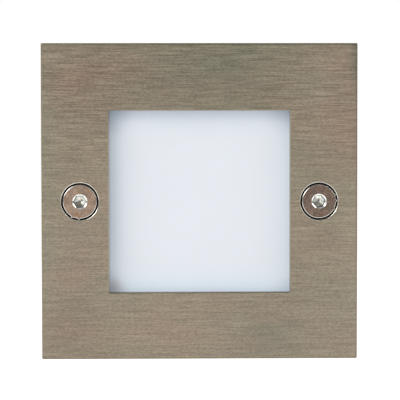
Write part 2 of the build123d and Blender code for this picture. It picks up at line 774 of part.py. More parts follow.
with BuildPart() as cable_grommet:
    with BuildSketch(wall_plane(box_inner_back)):
        Circle(grommet_flange_radius)
    extrude(amount=grommet_flange)
    with BuildSketch(wall_plane(box_depth)):
        Circle(grommet_hole_radius - fit_gap)
    extrude(amount=box_back_wall)
    with BuildSketch(wall_plane(box_depth + grommet_flange)):
        Circle(grommet_flange_radius)
    extrude(amount=grommet_flange)
    with BuildSketch(wall_plane(box_depth + grommet_flange)):
        Circle(cable_radius)
    extrude(amount=box_back_wall + 2 * grommet_flange, mode=Mode.SUBTRACT)
save(cable_grommet, "cable_grommet")
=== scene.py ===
import math
import bmesh
import bpy
import numpy as np
from mathutils import Matrix, Vector
from mathutils.geometry import delaunay_2d_cdt


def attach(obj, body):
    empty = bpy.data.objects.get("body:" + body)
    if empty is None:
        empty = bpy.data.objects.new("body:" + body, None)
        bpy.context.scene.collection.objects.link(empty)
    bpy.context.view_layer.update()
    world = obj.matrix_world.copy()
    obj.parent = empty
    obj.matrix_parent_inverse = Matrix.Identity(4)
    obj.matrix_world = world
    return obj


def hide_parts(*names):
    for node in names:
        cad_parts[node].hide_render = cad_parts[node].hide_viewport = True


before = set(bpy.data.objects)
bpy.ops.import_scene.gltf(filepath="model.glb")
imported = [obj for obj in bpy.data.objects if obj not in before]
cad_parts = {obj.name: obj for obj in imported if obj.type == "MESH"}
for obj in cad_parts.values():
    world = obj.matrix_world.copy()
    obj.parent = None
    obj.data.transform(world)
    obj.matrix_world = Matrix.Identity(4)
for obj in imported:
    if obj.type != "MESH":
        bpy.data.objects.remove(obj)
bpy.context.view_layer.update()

mm = 0.001
pole = 1e-4  # radius in millimetres at which a turned surface closes to a point
strip = 0.03  # width of a flat strip beside each rounded edge, so that the big faces stay flat
print("frame loaded:", len(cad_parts), "nodes")


# Quads of a grid of rows by columns: each joins a point, the next in its row and the two below them.
def gridQuads(rows, cols, wrapCols=True):
    r = np.arange(rows - 1)[:, None]
    c = np.arange(cols if wrapCols else cols - 1)[None, :]
    n = (c + 1) % cols
    return np.stack([r * cols + c, r * cols + n, (r + 1) * cols + n, (r + 1) * cols + c], -1).reshape(-1, 4)


# Points of a square with rounded corners: each corner is a quarter circle in equal steps about its centre.
def squareLoop(half, radius, steps=8):
    turn = np.linspace(0, math.pi / 2, steps)[None, :] + np.arange(4)[:, None] * math.pi / 2
    reach = half - radius
    centreX = reach * np.array([1, -1, -1, 1])[:, None]
    centreZ = reach * np.array([1, 1, -1, -1])[:, None]
    return np.stack([centreX + radius * np.cos(turn), centreZ + radius * np.sin(turn)], -1).reshape(-1, 2)


# A profile carried round a rounded square: row i is the loop of half-width, corner radius and depth i.
def squareSweep(profile, steps=8):
    loops = [np.insert(squareLoop(h, r, steps), 1, y, axis=1) for h, r, y in profile]
    return np.stack(loops), gridQuads(len(profile), 4 * steps)


# Angles of a full turn in equal steps.
def fullTurn(steps):
    return np.arange(steps) / steps * 2 * math.pi


# Points round an axis along Y: x and z are the axis's own plus the radius times the angle's cosine and sine.
def around(radius, y, turn, axis=(0, 0)):
    x, z = radius * np.cos(turn), radius * np.sin(turn)
    return np.stack([axis[0] + x, np.broadcast_to(y, x.shape), axis[1] + z], -1)


# A profile turned about an axis along Y: each of its points goes round the axis in equal steps.
def lathe(profile, axis=(0, 0), steps=96):
    r, y = np.array(profile, float).T[:, :, None]
    return around(r, y, fullTurn(steps), axis), gridQuads(len(profile), steps)


# Rings round an axis along Y, joined by quads. A ring's radius and depth are one number or one per angle.
def ringSurface(rings, turn, axis=(0, 0)):
    r, y = (np.array([np.broadcast_to(ring[k], turn.shape) for ring in rings]) for k in (0, 1))
    return around(r, y, turn, axis), gridQuads(len(rings), len(turn))


# Points of an arc between two angles in equal steps: the centre plus the radius times their cosine and sine.
def quarter(centre, radius, fromAngle, toAngle, steps=4):
    turn = np.radians(np.linspace(fromAngle, toAngle, steps + 1))
    return [(centre[0] + radius * math.cos(a), centre[1] + radius * math.sin(a)) for a in turn]


# A flat face at one depth between an outer loop and holes, as triangles whose middles lie inside the loop
# and outside the holes.
def flatFace(outer, holes, depth):
    loops = [outer, *holes]
    counts = np.cumsum([0] + [len(loop) for loop in loops])
    edges = [(int(a + i), int(a + (i + 1) % (b - a)))
             for a, b in zip(counts, counts[1:]) for i in range(b - a)]
    flat = delaunay_2d_cdt([Vector(p) for p in np.concatenate(loops).tolist()], edges, [], 0, 1e-9)
    points, tris = np.array([tuple(v) for v in flat[0]]), np.array(flat[2])
    middle = points[tris].mean(1)
    keep = insideLoop(middle, outer)
    for hole in holes:
        keep &= ~insideLoop(middle, hole)
    return np.insert(points, 1, depth, axis=1), tris[keep]


# A point is inside a loop where a ray from it to the right crosses the loop's edges an odd number of times.
def insideLoop(points, loop):
    a, b = loop[None, :, :], np.roll(loop, -1, 0)[None, :, :]
    x, z = points[:, None, 0], points[:, None, 1]
    spans = (a[..., 1] > z) != (b[..., 1] > z)
    rise = np.where(spans, b[..., 1] - a[..., 1], 1)
    cross = a[..., 0] + (z - a[..., 1]) / rise * (b[..., 0] - a[..., 0])
    return (spans & (cross > x)).sum(1) % 2 == 1


# Joins parts given in millimetres into one welded mesh whose faces point outwards. A part is its points, its
# faces and the place of its finish in the list of materials.
def makePiece(name, parts, body, materials, replaced=(), sharp=35):
    points, faces, finish, start = [], [], [], 0
    for surface, corners, *number in parts:
        flat = np.asarray(surface, float).reshape(-1, 3)
        points.append(flat)
        faces += (np.asarray(corners) + start).tolist()
        finish += (number or [0]) * len(corners)
        start += len(flat)
    mesh = bpy.data.meshes.new(name)
    mesh.from_pydata((np.concatenate(points) * mm).tolist(), [], faces)
    mesh.polygons.foreach_set("material_index", np.array(finish, np.int32))
    weld(mesh)
    finishPiece(name, mesh, body, materials, replaced, sharp)


def weld(mesh, joinMm=1e-4, emptyMm=1e-5):
    work = bmesh.new()
    work.from_mesh(mesh)
    bmesh.ops.remove_doubles(work, verts=work.verts, dist=joinMm * mm)
    bmesh.ops.dissolve_degenerate(work, edges=work.edges, dist=emptyMm * mm)
    bmesh.ops.recalc_face_normals(work, faces=work.faces)
    work.to_mesh(mesh)
    work.free()


def finishPiece(name, mesh, body, materials, replaced, sharp):
    mesh.polygons.foreach_set("use_smooth", np.ones(len(mesh.polygons), bool))
    mesh.set_sharp_from_angle(angle=math.radians(sharp))
    mesh.update()
    piece = bpy.data.objects.new(name, mesh)
    bpy.context.scene.collection.objects.link(piece)
    for material in materials:
        mesh.materials.append(material)
    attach(piece, body)
    if replaced:
        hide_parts(*replaced)
    return piece


def startMaterial(name):
    material = bpy.data.materials.new(name)
    material.use_nodes = True
    tree = material.node_tree
    shader = tree.nodes["Principled BSDF"]
    coords = tree.nodes.new("ShaderNodeTexCoord")
    return material, tree, shader, coords.outputs["Object"]


def setInputs(node, values):
    for socket, value in values.items():
        node.inputs[socket].default_value = value


# Noise stretched to a grain: its features are the given lengths along X, Y and Z, in millimetres.
def grain(tree, coords, size, detail=2.0, rough=0.5):
    place = tree.nodes.new("ShaderNodeMapping")
    setInputs(place, {"Scale": [1 / (s * mm) for s in (size if np.iterable(size) else [size] * 3)]})
    noise = tree.nodes.new("ShaderNodeTexNoise")
    setInputs(noise, {"Scale": 1.0, "Detail": detail, "Roughness": rough})
    tree.links.new(coords, place.inputs["Vector"])
    tree.links.new(place.outputs["Vector"], noise.inputs["Vector"])
    return noise.outputs["Fac"]


def ramp(tree, value, low, high, fromValue=0.0, toValue=1.0):
    node = tree.nodes.new("ShaderNodeMapRange")
    node.interpolation_type = "SMOOTHSTEP"
    setInputs(node, {"From Min": low, "From Max": high, "To Min": fromValue, "To Max": toValue})
    tree.links.new(value, node.inputs["Value"])
    return node.outputs["Result"]


def blendColour(tree, factor, a, b, how="MIX"):
    node = tree.nodes.new("ShaderNodeMix")
    node.data_type = "RGBA"
    node.blend_type = how
    if isinstance(factor, (int, float)):
        node.inputs[0].default_value = factor
    else:
        tree.links.new(factor, node.inputs[0])
    for socket, colour in ((node.inputs[6], a), (node.inputs[7], b)):
        if isinstance(colour, tuple):
            socket.default_value = (*colour, 1)
        else:
            tree.links.new(colour, socket)
    return node.outputs[2]


white = (1.0, 1.0, 1.0)


def tinted(tree, tone, shade):
    return blendColour(tree, 1.0, tone, shade, "MULTIPLY")


def addMaths(tree, how, a, b):
    node = tree.nodes.new("ShaderNodeMath")
    node.operation = how
    for socket, value in zip(node.inputs, (a, b)):
        if isinstance(value, (int, float)):
            socket.default_value = value
        else:
            tree.links.new(value, socket)
    return node.outputs[0]


def times(tree, a, b):
    return addMaths(tree, "MULTIPLY", a, b)


def addBump(tree, shader, height, depthMm):
    bump = tree.nodes.new("ShaderNodeBump")
    setInputs(bump, {"Distance": depthMm * mm, "Strength": 1.0})
    tree.links.new(height, bump.inputs["Height"])
    tree.links.new(bump.outputs["Normal"], shader.inputs["Normal"])


# A soft oval patch on the front: its factor goes smoothly from the given one at its middle to 1 at its rim.
def softPatch(tree, coords, x, z, reachX, reachZ, factor):
    place = tree.nodes.new("ShaderNodeMapping")
    setInputs(place, {"Location": (-x / reachX, 0, -z / reachZ),
                      "Scale": (1 / (reachX * mm), 0, 1 / (reachZ * mm))})
    tree.links.new(coords, place.inputs["Vector"])
    length = tree.nodes.new("ShaderNodeVectorMath")
    length.operation = "LENGTH"
    tree.links.new(place.outputs["Vector"], length.inputs[0])
    return ramp(tree, length.outputs["Value"], 0.0, 1.0, factor)


# Multiplies a tone by soft oval tints, each given as its middle, its reach and its colour at the middle.
def addPatches(tree, coords, tone, patches):
    for x, z, reachX, reachZ, tint in patches:
        shade = blendColour(tree, softPatch(tree, coords, x, z, reachX, reachZ, 0.0), tint, white)
        tone = tinted(tree, tone, shade)
    return tone


# Slides rows of points along X by a slow noise of their height, so that neighbouring streaks start apart.
def slideRows(tree, coords, rowMm, slideMm):
    shift = ramp(tree, grain(tree, coords, (400.0, 400.0, rowMm)), 0.2, 0.8, -slideMm * mm, slideMm * mm)
    place = tree.nodes.new("ShaderNodeCombineXYZ")
    tree.links.new(shift, place.inputs[0])
    slid = tree.nodes.new("ShaderNodeVectorMath")
    tree.links.new(coords, slid.inputs[0])
    tree.links.new(place.outputs[0], slid.inputs[1])
    return slid.outputs[0]


# Steel brushed along X: thin streaks of two lengths and a fine speck in colour, roughness and height, over a
# slow drift from pinker to greener and soft patches.
def brushedSteel(name, look):
    material, tree, shader, coords = startMaterial(name)
    rows = slideRows(tree, coords, *look["slide"])
    layers = {layer: grain(tree, place, look[layer]["size"], look[layer]["detail"])
              for layer, place in (("fine", rows), ("long", rows), ("speck", coords))}
    drift = grain(tree, coords, look["drift"])
    tone = blendColour(tree, ramp(tree, drift, 0.35, 0.65), look["pink"], look["green"])
    for layer, noise in layers.items():
        swing = look[layer]["swing"]
        shade = blendColour(tree, ramp(tree, noise, 0.25, 0.75), (1 - swing,) * 3, (1 + swing,) * 3)
        tone = tinted(tree, tone, shade)
    tree.links.new(addPatches(tree, coords, tone, look["patches"]), shader.inputs["Base Color"])
    tree.links.new(ramp(tree, layers["fine"], 0.25, 0.75, *look["roughness"]), shader.inputs["Roughness"])
    setInputs(shader, {"Metallic": 1.0, "Anisotropic": look["anisotropy"]})
    addBump(tree, shader, addMaths(tree, "ADD", layers["fine"], layers["speck"]), look["bump"])
    return material


# Bare or coated metal: a fine even grain in colour and height, and slower patches in shade and gloss.
def grainedMetal(name, look):
    material, tree, shader, coords = startMaterial(name)
    speck = grain(tree, coords, look["grain"], 3.0, 0.6)
    patch = grain(tree, coords, look.get("patch", 6.0))
    tone = blendColour(tree, ramp(tree, speck, 0.3, 0.7), look["dark"], look["light"])
    shade = blendColour(tree, ramp(tree, patch, 0.35, 0.65), (look.get("patchDark", 0.92),) * 3, white)
    tone = addPatches(tree, coords, tinted(tree, tone, shade), look.get("patches", []))
    tree.links.new(tone, shader.inputs["Base Color"])
    tree.links.new(ramp(tree, patch, 0.3, 0.7, *look["roughness"]), shader.inputs["Roughness"])
    setInputs(shader, {"Metallic": 1.0})
    addBump(tree, shader, speck, look["bump"])
    return material


# Moulded plastic or rubber: a fine pebble from the mould, with slow shade and gloss changes.
def moulded(name, look):
    material, tree, shader, coords = startMaterial(name)
    pebble = grain(tree, coords, look["grain"], 3.0, 0.6)
    patch = grain(tree, coords, look.get("patch", 9.0), 3.0)
    tone = blendColour(tree, ramp(tree, patch, 0.3, 0.7), look["dark"], look["light"])
    tree.links.new(tone, shader.inputs["Base Color"])
    tree.links.new(ramp(tree, patch, 0.25, 0.75, *look["roughness"]), shader.inputs["Roughness"])
    setInputs(shader, {"Specular IOR Level": look.get("specular", 0.5)})
    addBump(tree, shader, pebble, look["bump"])
    return material


facePlate = {
    "half": 40.0, "cornerRadius": 0.3, "front": -4.5, "back": -1.5, "edgeRound": 0.16, "windowHalf": 23.0,
    "windowCorner": 0.3, "windowRound": 0.15, "windowDrop": 0.13, "holeX": 30.3, "holeRadius": 4.75,
    "holeBreak": 0.12, "holeFloor": -2.5, "passRadius": 2.8, "backBreak": 0.1,
    "finish": {
        "pink": (0.325, 0.2645, 0.196), "green": (0.308, 0.2675, 0.196), "drift": (15.0, 7.0, 7.0),
        "slide": (2.6, 5.0),
        "fine": {"size": (7.0, 0.5, 0.32), "detail": 0.0, "swing": 0.095},
        "long": {"size": (24.0, 0.6, 0.5), "detail": 1.0, "swing": 0.065},
        "speck": {"size": (0.7, 0.4, 0.26), "detail": 0.0, "swing": 0.115},
        # patches: soft tints over the plate. The wide oval below it darkens the plate towards the bottom as
        # painted shade, and the thin strips along the top, bottom and right edges are painted shade on the
        # edges; the others lighten, darken or tint ovals of the plate.
        "patches": [
            (-1, 33, 36, 18, (0.87, 0.87, 0.875)), (12, 34, 34, 17, (0.94, 1.012, 1.0)),
            (-29, 30, 17, 20, (0.965, 0.885, 0.9)), (-31, -14, 10, 36, (0.965, 0.93, 0.945)),
            (-39.5, 14, 6, 60, (0.93, 0.99, 1.0)), (-14, -34, 34, 14, (1.03, 0.985, 0.97)),
            (18, -34, 13, 15, (0.88, 0.91, 0.92)), (-34, -35, 22, 18, (0.9, 0.9, 0.91)),
            (37, 24, 9, 22, (1.05, 0.975, 0.99)), (39.8, 36, 2.6, 13, (0.72, 0.83, 0.85)),
            (39, -10, 7, 40, (1.09, 1.085, 1.095)), (-26, 12, 5, 22, (1.05, 1.02, 1.025)),
            (0, -44, 200, 50, (0.85, 0.855, 0.87)), (33, 32, 20, 26, (1.1, 1.08, 1.09)),
            (0, 39.75, 300, 0.45, (0.68, 0.69, 0.64)), (0, -39.75, 300, 0.42, (0.93, 0.93, 0.89)),
            (39.75, 0, 0.42, 300, (0.95, 0.92, 0.87)),
        ],
        "roughness": (0.36, 0.44), "anisotropy": 0.35, "bump": 0.003,
    },
    "rim": {
        "grain": 0.3, "dark": (0.72, 0.69, 0.62), "light": (0.8, 0.77, 0.7), "roughness": (0.16, 0.26),
        "bump": 0.001,
    },
    # edge: the plate's rounded outer edge in dark steel as painted shade; its patches darken the top and
    # right sides as painted shade and lighten the left side as painted light.
    "edge": {
        "grain": 0.3, "dark": (0.15, 0.115, 0.075), "light": (0.24, 0.19, 0.13), "roughness": (0.3, 0.45),
        "bump": 0.003,
        "patches": [
            (0, 41, 60, 4, (0.66, 0.46, 0.3)), (41, 10, 4, 60, (0.8, 0.72, 0.6)),
            (-41, 0, 4, 60, (1.5, 1.35, 1.05)),
        ],
    },
    "side": {
        "grain": (0.5, 0.25, 0.5), "dark": (0.26, 0.218, 0.165), "light": (0.34, 0.29, 0.225),
        "roughness": (0.3, 0.42), "bump": 0.004,
    },
    "lip": {
        "grain": 0.3, "dark": (0.29, 0.24, 0.18), "light": (0.37, 0.31, 0.24), "roughness": (0.3, 0.42),
        "bump": 0.003,
        # the lip's patches darken its bottom side and top left corner as painted shade and lighten its left
        # side as painted highlight
        "patches": [
            (0, -23.2, 50, 1.0, (0.42, 0.38, 0.32)), (-23.2, 0, 1.0, 50, (1.5, 1.5, 1.4)),
            (-23.2, 23.2, 4, 4, (0.6, 0.55, 0.6)),
        ],
    },
    # bore: the hole's wall in near-black steel, painted shadow in the gap round the screw head
    "bore": {
        "grain": 0.2, "dark": (0.025, 0.022, 0.02), "light": (0.05, 0.045, 0.04), "roughness": (0.35, 0.5),
        "bump": 0.002,
    },
}


# The window was cut a hair low: the points of its lower half go down by the drop.
def lowerHalfDown(points, drop):
    return points - drop * (points[..., -1:] < 0) * np.eye(points.shape[-1])[-1]


# The plate is rounded squares carried over its outer edge and its window, profiles turned into its two
# holes, and flat faces between them.
def buildFacePlate(look):
    steels = [brushedSteel("brushed_plate_steel", look["finish"])]
    steels += [grainedMetal(name, look[key]) for key, name in (
        ("rim", "bright_hole_rim"), ("bore", "painted_shadow_hole_wall"), ("edge", "painted_shade_edge_steel"),
        ("side", "sheared_side_steel"), ("lip", "window_lip_steel"))]
    front, back, e, w = look["front"], look["back"], look["edgeRound"], look["windowRound"]
    half, corner, window, k = look["half"], look["cornerRadius"], look["windowHalf"], look["backBreak"]
    outer = [(half - e - strip, front), *quarter((half - e, front + e), e, -90, 0), (half, front + 2 * e),
             *quarter((half - k, back - k), k, 0, 90, 2), (half - k - strip, back)]
    outerProfile = [(h, max(corner + h - half, 0.05), y) for h, y in outer]
    inner = [(window + w + strip, front), *quarter((window + w, front + w), w, 270, 180),
             *quarter((window + k, back - k), k, 180, 90, 2), (window + k + strip, back)]
    innerProfile = [(h, look["windowCorner"] + h - window, y) for h, y in inner]
    r, b, p, floor = look["holeRadius"], look["holeBreak"], look["passRadius"], look["holeFloor"]
    rimProfile = [(r + b + strip, front), (r + b, front), (r + b * 0.35, front + b * 0.35), (r, front + b)]
    boreProfile = [(r, front + b), (r, floor), (p + k, floor), (p, floor + k), (p, back)]
    parts = [(*squareSweep(outerProfile[:7]), 3), (*squareSweep(outerProfile[6:]), 4)]
    for profile, finish in ((innerProfile[:6], 5), (innerProfile[5:], 0)):
        points, faces = squareSweep(profile)
        parts.append((lowerHalfDown(points, look["windowDrop"]), faces, finish))
    holeLoops = {"front": [], "back": []}
    for side in (-1, 1):
        centre = (side * look["holeX"], 0)
        parts += [(*lathe(rimProfile, centre), 1), (*lathe(boreProfile, centre), 2)]
        for face, radius in (("front", rimProfile[0][0]), ("back", p)):
            holeLoops[face].append(lathe([(radius, 0)], centre)[0][0][:, [0, 2]])
    for face, row, depth in (("front", 0, front), ("back", -1, back)):
        opening = lowerHalfDown(squareLoop(*innerProfile[row][:2]), look["windowDrop"])
        parts.append((*flatFace(squareLoop(*outerProfile[row][:2]), [opening, *holeLoops[face]], depth), 0))
    makePiece("face_plate_steel", parts, "face_plate", steels, ["face_plate"])


buildFacePlate(facePlate)
print("face plate made")


faceScrew = {
    "headRadius": 4.3, "front": -4.5, "headBack": -2.8, "edgeBreak": 0.17, "apothem": 1.5, "mouth": 1.89,
    "socketDepth": 1.1, "floorDrop": 0.4, "wallLean": 0.17, "shankRadius": 2.5, "tip": 17.2,
    "mouthSlope": 0.72,
    "bowl": [(0.14, 1.0), (0.18, 0.93), (0.5, 0.5), (0.9, 0.07), (0.97, 0.015), (1.0, 0.0)], "pitch": 0.8,
    "pitchRows": 8, "threadDepth": 0.42, "threadSlope": 2.6, "threadCrest": 0.15, "threadStart": -1.0,
    "runOut": 0.8, "tipCone": 0.5,
    # side: its middle's X, its turn in degrees, and the angle and height of each burr on the head's edge
    "sides": {
        "left": (-30.3, 3.0, [(267, 0.4), (243, 0.43)]),
        "right": (30.3, 11.0, [(22, 0.36), (1, 0.34), (-27, 0.38)]),
    },
    "burrDegrees": 3.0, "backBreak": 0.15,
    "bright": {
        "grain": 0.25, "dark": (0.56, 0.54, 0.49), "light": (0.68, 0.66, 0.61), "roughness": (0.12, 0.22),
        "bump": 0.0015,
    },
    "socket": {
        "grain": 0.5, "patch": 0.6, "patchDark": 0.72, "dark": (0.42, 0.415, 0.37),
        "light": (0.6, 0.6, 0.55), "roughness": (0.3, 0.42), "bump": 0.02,
        # the socket's patches darken a spot near each socket's middle and the sockets' lower halves as
        # painted shade, and lighten their upper halves as painted highlight
        "patches": [
            (-29.85, 0.35, 0.4, 0.35, (0.35, 0.33, 0.3)), (30.3, 0.4, 0.4, 0.4, (0.4, 0.38, 0.34)),
            (-30.5, 0.8, 1.0, 0.6, (1.6, 1.6, 1.6)), (30.3, 1.1, 1.2, 0.6, (1.6, 1.6, 1.6)),
            (-30.3, -0.95, 1.4, 0.9, (0.36, 0.33, 0.26)), (30.7, -0.9, 1.0, 0.7, (0.6, 0.58, 0.5)),
        ],
    },
    # wall: the socket's walls in near-black steel as painted shade, their upper halves lightened six times as
    # painted highlight
    "shadedWallSteel": {
        "grain": 0.3, "dark": (0.1, 0.095, 0.08), "light": (0.17, 0.165, 0.14), "roughness": (0.45, 0.55),
        "bump": 0.001,
        "patches": [(30.3, 1.9, 3.0, 1.6, (6.0, 6.0, 5.9)), (-30.3, 1.9, 3.0, 1.6, (6.0, 6.0, 5.9))],
    },
    # mouth: the polished chamfer, lightened beyond the steel's own colour as painted highlight; its patches
    # darken the sockets' side corners, the left socket's top and lower left and the right socket's bottom and
    # lower left as painted shade, and lighten the left socket's bottom as painted highlight
    "mouthSteel": {
        "grain": 0.25, "dark": (0.72, 0.72, 0.69), "light": (0.9, 0.9, 0.87), "roughness": (0.12, 0.2),
        "bump": 0.001,
        "patches": [
            (-32.15, 0.0, 0.3, 0.35, (0.3, 0.29, 0.25)), (-28.5, 0.05, 0.3, 0.35, (0.35, 0.34, 0.3)),
            (-30.4, 1.8, 0.7, 0.4, (0.7, 0.7, 0.68)), (-30.3, -1.75, 0.5, 0.3, (1.2, 1.2, 1.2)),
            (-31.6, -1.3, 0.8, 0.8, (0.6, 0.59, 0.55)), (30.0, -1.8, 0.7, 0.4, (0.5, 0.52, 0.44)),
            (28.9, -1.2, 0.6, 0.5, (0.5, 0.48, 0.42)), (28.5, 0.0, 0.3, 0.4, (0.6, 0.58, 0.52)),
        ],
    },
    # leftFace and rightFace: both heads are the same steel, the right one's colours made darker as painted
    # shade; their patches lighten and tint small spots near the heads' edges
    "leftFace": {
        "grain": 0.45, "patch": 1.3, "patchDark": 0.84, "dark": (0.298, 0.21, 0.154),
        "light": (0.455, 0.328, 0.245), "roughness": (0.3, 0.4), "bump": 0.0015,
        "patches": [(-31.0, -3.2, 0.9, 0.6, (1.12, 0.9, 0.62)), (-28.6, 2.6, 0.7, 0.5, (1.1, 0.93, 0.78))],
    },
    "rightFace": {
        "grain": 0.45, "patch": 1.3, "patchDark": 0.82, "dark": (0.165, 0.115, 0.087),
        "light": (0.302, 0.218, 0.172), "roughness": (0.3, 0.4), "bump": 0.0015,
        "patches": [(30.2, -3.5, 0.35, 0.3, (1.5, 1.5, 1.2)), (30.9, -3.3, 0.8, 0.5, (1.12, 0.9, 0.75))],
    },
}


# Radius of a hexagon at an angle: its apothem over the cosine of the angle from the nearest side's middle.
def hexRadius(apothem, turn, rotation):
    local = np.mod(turn - rotation, math.pi / 3) - math.pi / 6
    return apothem / np.cos(local)


# The head is rings from the socket's bowl outwards: shares of a hexagon's radius, its walls, the scalloped
# mouth, and circles with a bell-shaped burr at each given angle.
def buildFaceScrew(look, side, place, degrees, burrs):
    steels = [grainedMetal(f"{side}_{name}", look[key]) for key, name in (
        ("bright", "bright_socket_steel"), (f"{side}Face", "screw_face_steel"), ("socket", "socket_steel"),
        ("mouthSteel", "socket_mouth_steel"), ("shadedWallSteel", "painted_shade_socket_wall"))]
    rotation = math.radians(degrees)
    turn = rotation + fullTurn(144)
    hexagon = hexRadius(look["apothem"], turn, rotation)
    front, mouth, floor = look["front"], look["mouth"], hexagon - look["wallLean"]
    deep = front + look["socketDepth"]
    scallop = front + (mouth - hexagon) * look["mouthSlope"]
    bowl = [(share * (floor - strip), deep + strip + look["floorDrop"] * drop)
            for share, drop in look["bowl"]]
    rings = [(pole, deep + look["floorDrop"] + 0.3), *bowl, (floor, deep),
             (hexagon, scallop + 0.04), (hexagon + 0.015, scallop), (mouth, front)]
    edge, back, k, shank = look["edgeBreak"], look["headBack"], look["backBreak"], look["shankRadius"]
    radius = look["headRadius"]
    for angle, height in burrs:
        away = np.mod(np.degrees(turn) - angle + 180, 360) - 180
        radius = radius + height * np.exp(-(away / look["burrDegrees"]) ** 2)
    faceRings = [(mouth, front), (mouth + strip, front), (radius - edge - strip, front),
                 (radius - edge, front)]
    rimRings = [(radius - edge * inset, front + edge * drop)
                for inset, drop in ((1, 0), (0.45, 0.25), (0.12, 0.6), (0, 1.1))]
    rimRings += [(radius, back - k), (radius - k, back), (shank, back), (shank, look["threadStart"])]
    parts = [(*ringSurface(group, turn, (place, 0)), finish) for group, finish in (
        (rings[:-3], 2), (rings[-4:-1], 4), (rings[-2:], 3), (faceRings, 1), (rimRings, 0))]
    parts.append((*threadSurface(look, place, turn), 0))
    makePiece(f"{side}_face_screw_steel", parts, f"{side}_screw", steels,
              [f"{side}_face_screw"], 32)


# How deep a thread is at a phase of its turn: a triangle wave, cut flat on the crest and in the groove.
def threadWave(look, phase):
    return np.clip(np.abs(np.mod(phase, 1.0) - 0.5) * look["threadSlope"] - look["threadCrest"], 0, 1)


# A screw surface: its radius falls by the thread's wave of depth plus the turn's share of one pitch.
def threadSurface(look, place, turn):
    rows = int((look["tip"] - look["threadStart"]) / look["pitch"] * look["pitchRows"])
    y = np.linspace(look["threadStart"], look["tip"], rows)[:, None]
    wave = threadWave(look, y / look["pitch"] + turn / (2 * math.pi))
    fadeIn = np.clip((y - look["threadStart"]) / look["runOut"], 0, 1)
    fadeOut = np.clip((look["tip"] - y) / look["tipCone"], 0, 1)
    radius = look["shankRadius"] - look["threadDepth"] * wave * fadeIn * fadeOut
    radius = radius - look["tipCone"] * (1 - fadeOut)
    points = around(radius, y, turn, (place, 0))
    tip = np.broadcast_to([place, look["tip"], 0.0], points[:1].shape)
    return np.concatenate([points, tip]), gridQuads(rows + 1, len(turn))


for side, plan in faceScrew["sides"].items():
    buildFaceScrew(faceScrew, side, *plan)
print("face screws made")


opalPanel = {
    "half": 27.0, "corner": 1.8, "front": -0.7, "back": 1.3, "round": 0.3,
    "base": (0.438, 0.432, 0.442), "glow": (0.76, 0.89, 1.0), "glowStrength": 0.29, "window": 23.0,
    # dimBase darkens and blues the colour where the glow is dimmed, and edgeTint blues it near the window's
    # edge: the colour of the painted shade
    "dimBase": (0.45, 0.6, 0.8), "edgeTint": (0.93, 0.985, 1.03), "tintReach": 7.0, "roughness": 0.55,
    "cloud": 14.0, "frost": 0.12, "bump": 0.002,
    # edge: its axis and sign, the share of the glow left there, and the millimetres over which that fades;
    # a share under one is painted shade near that edge and a share over one painted light
    "edges": [(0, -1, 0.93, 2.1), (0, 1, 0.95, 2.2), (2, 1, 0.7, 1.0), (2, 1, 1.04, 6.0), (2, -1, 1.62, 2.8)],
    # paintedShadows darken strips along the left and bottom edges and the two bottom corners as painted
    # shadow of the recess; corners dim each corner of the sheet as painted shade
    "paintedShadows": [(-23.2, 0, 0.9, 90, (0.55, 0.53, 0.56)), (0, -23.3, 90, 1.7, (0.78, 0.8, 0.82)),
               (-23, -23, 5.0, 4.5, (0.56, 0.38, 0.31)), (23, -23, 4.0, 4.0, (0.76, 0.86, 0.95))],
    "corners": [(-23, 23, 8, 8, 0.52), (23, 23, 8, 8, 0.7), (-23, -23, 7, 7, 0.58), (23, -23, 6, 6, 0.78)],
}


# Opal sheet with a painted glow in place of light falling on it: for each edge of the window its glow, and
# with it its colour, is multiplied by one less a share that decays exponentially with the distance from that
# edge, painted shade near the left, right and top edges and painted light near the bottom, and soft patches
# dim its corners as painted shade.
def opalMaterial(look):
    material, tree, shader, coords = startMaterial("frosted_opal")
    split = tree.nodes.new("ShaderNodeSeparateXYZ")
    tree.links.new(coords, split.inputs[0])
    glow = nearest = None
    for axis, sign, edgeShare, fall in look["edges"]:
        reach = times(tree, split.outputs[axis], sign / mm)
        inward = addMaths(tree, "SUBTRACT", look["window"], reach)
        decay = addMaths(tree, "POWER", math.e, times(tree, inward, -1 / fall))
        share = addMaths(tree, "SUBTRACT", 1.0, times(tree, decay, 1 - edgeShare))
        glow = share if glow is None else times(tree, glow, share)
        nearest = inward if nearest is None else addMaths(tree, "MINIMUM", nearest, inward)
    for patch in look["corners"]:
        glow = times(tree, glow, softPatch(tree, coords, *patch))
    cloud = ramp(tree, grain(tree, coords, look["cloud"]), 0.3, 0.7, 0.985, 1.015)
    glow = times(tree, glow, cloud)
    base = tinted(tree, look["base"], blendColour(tree, glow, look["dimBase"], white))
    tint = blendColour(tree, ramp(tree, nearest, 0.0, look["tintReach"]), look["edgeTint"], white)
    base = addPatches(tree, coords, tinted(tree, base, tint), look["paintedShadows"])
    tree.links.new(base, shader.inputs["Base Color"])
    tree.links.new(times(tree, glow, look["glowStrength"]), shader.inputs["Emission Strength"])
    setInputs(shader, {"Emission Color": (*look["glow"], 1), "Roughness": look["roughness"]})
    addBump(tree, shader, grain(tree, coords, look["frost"]), look["bump"])
    return material


# A flat sheet: rounded squares grow from the middle of its front, turn over its edge and shrink on its back.
def buildDiffuser(look):
    r, h, c = look["round"], look["half"], look["corner"]
    front, back, inset = look["front"], look["back"], look["round"] + 0.1
    edge = quarter((h - r, front + r), r, -90, 0) + quarter((h - r, back - r), r, 0, 90)
    profile = [(pole, pole / 2, front), (h - inset, c - inset, front), *((a, c + a - h, y) for a, y in edge),
               (h - inset, c - inset, back), (pole, pole / 2, back)]
    makePiece("opal_diffuser", [squareSweep(profile)], "lamp_unit",
              [opalMaterial(look)], ["diffuser"])


buildDiffuser(opalPanel)
print("diffuser made")


